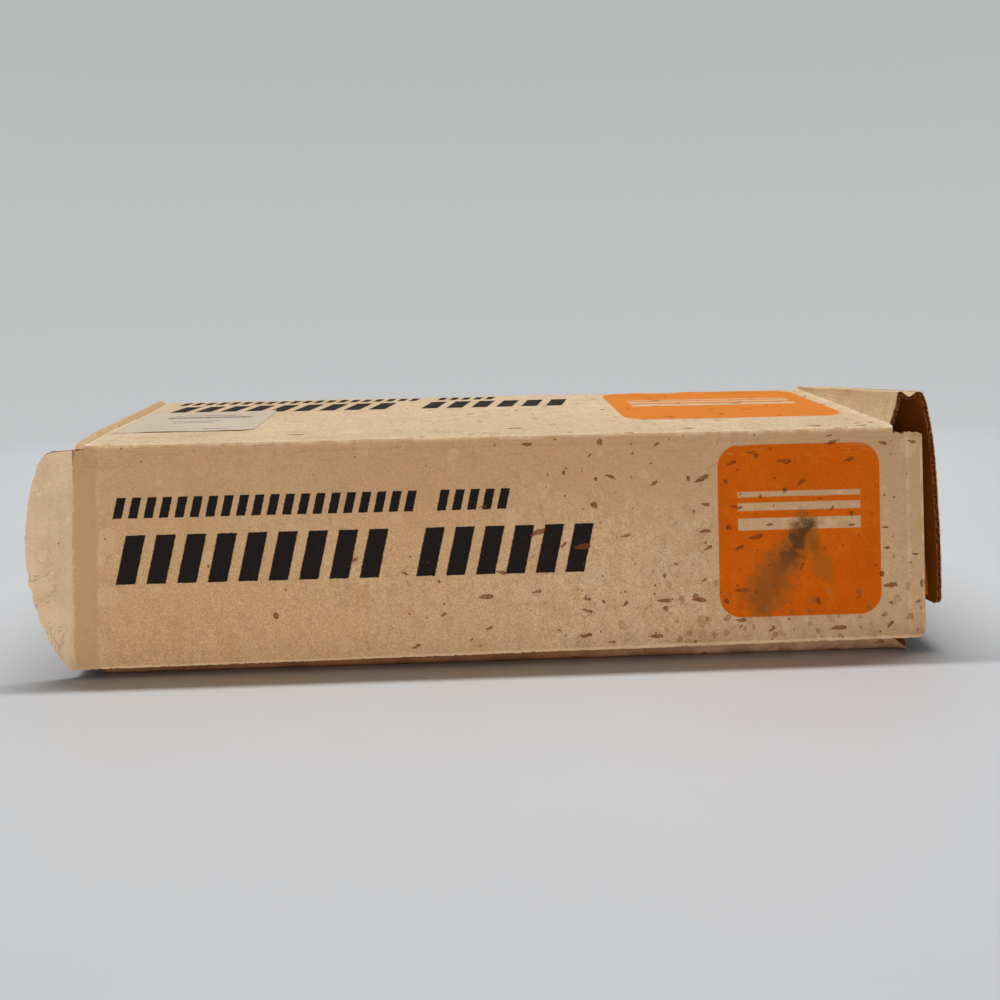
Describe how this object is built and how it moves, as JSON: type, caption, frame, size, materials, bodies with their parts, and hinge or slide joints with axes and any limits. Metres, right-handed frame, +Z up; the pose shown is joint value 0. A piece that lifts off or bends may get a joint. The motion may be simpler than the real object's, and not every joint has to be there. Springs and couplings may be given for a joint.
{
  "type": "boxed electric carving knife",
  "caption": "Electric carving knife with reciprocating blades, packed in a slide-out tray inside its worn corrugated retail carton with hinged end flaps.",
  "frame": {"origin": "centre of the underside of the carton's base", "axes": "+X along the carton towards the open end, +Y from the printed front to the back, +Z up"},
  "size_m": [0.3676, 0.1213, 0.1048],
  "materials": {
    "printed_board": "printed clay-coated corrugated board, matt, stained",
    "carton_board": "clay-coated corrugated board, matt, scuffed",
    "kraft_board": "brown kraft corrugated board, matt, stained dark",
    "label_paper": "off-white paper, matt",
    "tray_board": "brown kraft corrugated board, matt",
    "housing_plastic": "moulded avocado green plastic, satin gloss",
    "button_plastic": "moulded black plastic, fine grain",
    "inner_plastic": "natural moulded plastic",
    "bright_steel": "machined steel",
    "core_steel": "stacked steel laminations, oiled",
    "copper": "enamelled copper",
    "brass": "turned brass",
    "carbon": "pressed carbon",
    "nose_trim": "bright plated trim",
    "guard_plastic": "thin moulded cream plastic",
    "blade_steel": "ground stainless steel"
  },
  "bodies": {
    "carton": {"front_panel": "printed_board", "top_panel": "printed_board", "back_panel": "carton_board", "bottom_panel": "carton_board", "glue_tab": "kraft_board", "left_shoulder": "carton_board", "paper_label": "label_paper"},
    "left_front_dust_flap": {"left_front_dust_flap": "carton_board"},
    "left_back_dust_flap": {"left_back_dust_flap": "carton_board"},
    "right_front_dust_flap": {"right_front_dust_flap": "carton_board"},
    "right_back_dust_flap": {"right_back_dust_flap": "carton_board"},
    "left_closure": {"left_closure": "carton_board", "left_tuck_tab": "carton_board"},
    "right_riser": {"right_riser": "carton_board", "right_bridge": "carton_board"},
    "right_closure": {"right_closure": "carton_board"},
    "right_tuck_tab": {"right_tuck_tab": "carton_board"},
    "tray": {"inner_tray": "tray_board", "tray_divider": "tray_board", "rear_cradle": "tray_board", "front_cradle": "tray_board", "left_shell": "housing_plastic", "right_shell": "housing_plastic", "housing_screws": "bright_steel", "nose_plate": "nose_trim", "inlet_housing": "inner_plastic", "inlet_pins": "brass", "rear_bracket": "inner_plastic", "front_bracket": "inner_plastic", "rear_bearing": "brass", "front_bearing": "brass", "stator_core": "core_steel", "field_coils": "copper", "brush_holders": "brass", "carbon_brushes": "carbon", "brush_springs": "bright_steel", "wheel_axle": "bright_steel", "carrier_guide": "inner_plastic", "switch_body": "inner_plastic", "blade_guard": "guard_plastic", "lower_blade": "blade_steel", "blade_rivet": "blade_steel"},
    "armature": {"motor_shaft": "bright_steel", "commutator": "copper", "armature_core": "core_steel", "armature_winding": "copper", "cooling_fan": "inner_plastic", "drive_worm": "bright_steel"},
    "worm_wheel": {"worm_wheel": "inner_plastic", "crank_pins": "bright_steel"},
    "left_blade_carrier": {"left_blade_carrier": "inner_plastic"},
    "right_blade_carrier": {"right_blade_carrier": "inner_plastic"},
    "trigger": {"trigger": "button_plastic", "trigger_spring": "bright_steel"},
    "lock_button": {"lock_button": "button_plastic"},
    "release_button": {"release_button": "button_plastic", "release_spring": "bright_steel"},
    "upper_blade": {"upper_blade": "blade_steel"}
  },
  "joints": [
    {"name": "left_closure_hinge", "type": "hinge", "parent": "carton", "child": "left_closure", "pos_m": [-0.17, 0, 0.08863], "axis": [0, 1, 0], "range_deg": [0, 170]},
    {"name": "left_front_flap_hinge", "type": "hinge", "parent": "carton", "child": "left_front_dust_flap", "pos_m": [-0.1703, -0.06, 0.04561], "axis": [0, 0, 1], "range_deg": [0, 150]},
    {"name": "left_back_flap_hinge", "type": "hinge", "parent": "carton", "child": "left_back_dust_flap", "pos_m": [-0.1657, 0.0577, 0.04561], "axis": [0, 0, 1], "range_deg": [0, 25]},
    {"name": "right_front_flap_hinge", "type": "hinge", "parent": "carton", "child": "right_front_dust_flap", "pos_m": [0.1697, -0.0557, 0.04561], "axis": [0, 0, 1], "range_deg": [-85, 0]},
    {"name": "right_back_flap_hinge", "type": "hinge", "parent": "carton", "child": "right_back_dust_flap", "pos_m": [0.1697, 0.0557, 0.04561], "axis": [0, 0, -1], "range_deg": [-85, 0]},
    {"name": "right_riser_hinge", "type": "hinge", "parent": "carton", "child": "right_riser", "pos_m": [0.1577, 0, 0.09123], "axis": [0, 1, 0], "range_deg": [-95, 0]},
    {"name": "right_closure_hinge", "type": "hinge", "parent": "right_riser", "child": "right_closure", "pos_m": [0.1702, 0, 0.09868], "axis": [0, -0.9946, 0.1041], "range_deg": [0, 187]},
    {"name": "right_tuck_hinge", "type": "hinge", "parent": "right_closure", "child": "right_tuck_tab", "pos_m": [0.17354, 0, 0.01371], "axis": [0, -0.9946, 0.1041], "range_deg": [0, 95]},
    {"name": "tray_slide", "type": "slide", "parent": "carton", "child": "tray", "axis": [1, 0, 0], "range_m": [0, 0.28]},
    {"name": "motor_spin", "type": "hinge", "parent": "tray", "child": "armature", "pos_m": [-0.128, 0.022, 0.0426], "axis": [1, 0, 0], "continuous": true},
    {"name": "wheel_spin", "type": "hinge", "parent": "tray", "child": "worm_wheel", "pos_m": [-0.007, 0.022, 0.0569], "axis": [0, 1, 0], "continuous": true},
    {"name": "left_carrier_slide", "type": "slide", "parent": "tray", "child": "left_blade_carrier", "axis": [1, 0, 0], "range_m": [-0.0035, 0.0035]},
    {"name": "right_carrier_slide", "type": "slide", "parent": "tray", "child": "right_blade_carrier", "axis": [1, 0, 0], "range_m": [-0.0035, 0.0035]},
    {"name": "trigger_press", "type": "slide", "parent": "tray", "child": "trigger", "axis": [0, 0, 1], "range_m": [0, 0.0035], "stiffness_N_per_m": 600, "springref_m": -0.002, "deforming": ["trigger_spring"]},
    {"name": "lock_slide", "type": "slide", "parent": "tray", "child": "lock_button", "axis": [1, 0, 0], "range_m": [0, 0.006]},
    {"name": "release_press", "type": "slide", "parent": "tray", "child": "release_button", "axis": [0, 0, -1], "range_m": [0, 0.003], "stiffness_N_per_m": 400, "springref_m": -0.002, "deforming": ["release_spring"]},
    {"name": "blade_slide", "type": "slide", "parent": "tray", "child": "upper_blade", "axis": [1, 0, 0], "range_m": [-0.003, 0.003]}
  ],
  "couplings": [
    {"joint": "right_closure_hinge", "follows": "tray_slide", "rad_per_m": 11.6},
    {"joint": "wheel_spin", "follows": "motor_spin", "ratio": 0.05},
    {"joint": "right_carrier_slide", "follows": "left_carrier_slide", "ratio": -1}
  ]
}
